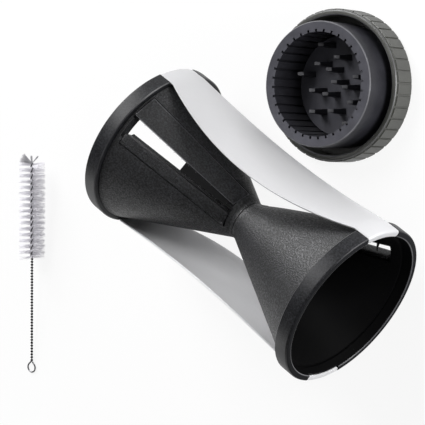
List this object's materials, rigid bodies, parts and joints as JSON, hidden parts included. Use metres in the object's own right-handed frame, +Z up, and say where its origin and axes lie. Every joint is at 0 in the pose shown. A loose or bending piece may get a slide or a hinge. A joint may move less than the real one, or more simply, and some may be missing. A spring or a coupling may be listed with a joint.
{
  "type": "hand spiralizer",
  "caption": "Hourglass hand spiralizer with two funnels, blade slots and steel side straps, with its spiked holder cap off beside it and a twisted wire cleaning brush.",
  "frame": {"origin": "middle of the whole set's foot, on the table that the body, cap and brush lie on", "axes": "+X along the body's axis from the far mouth to the near mouth, +Y from the body towards the cap, +Z up"},
  "size_m": [0.1952, 0.228, 0.07],
  "materials": {
    "textured_plastic": "finely textured black",
    "smooth_plastic": "smooth satin black",
    "cap_plastic": "smooth black",
    "grip_plastic": "satin dark grey",
    "strap_steel": "satin",
    "blade_steel": "ground",
    "wire_steel": "drawn wire",
    "nylon": "translucent white filament"
  },
  "bodies": {
    "spiralizer": {"far_blade": "blade_steel", "far_blade_bar": "textured_plastic", "far_comb": "blade_steel", "far_funnel": "textured_plastic", "far_rim_ring": "smooth_plastic", "far_slot_cover": "textured_plastic", "lower_strap": "strap_steel", "near_blade": "blade_steel", "near_blade_bar": "textured_plastic", "near_comb": "blade_steel", "near_funnel": "textured_plastic", "near_rim_ring": "smooth_plastic", "near_slot_cover": "textured_plastic", "upper_strap": "strap_steel", "waist_plug": "smooth_plastic"},
    "cap": {"cap_grip": "grip_plastic", "cap_tube": "cap_plastic", "cap_spikes": "cap_plastic"},
    "brush": {"brush_wire": "wire_steel", "brush_bristles": "nylon"}
  },
  "joints": [
    {"name": "cap_lift", "type": "slide", "parent": "spiralizer", "child": "cap", "axis": [0, 0.6, 0.8], "range_m": [0, 0.12]},
    {"name": "brush_lift", "type": "slide", "parent": "spiralizer", "child": "brush", "axis": [0, 0, 1], "range_m": [0, 0.1]}
  ]
}
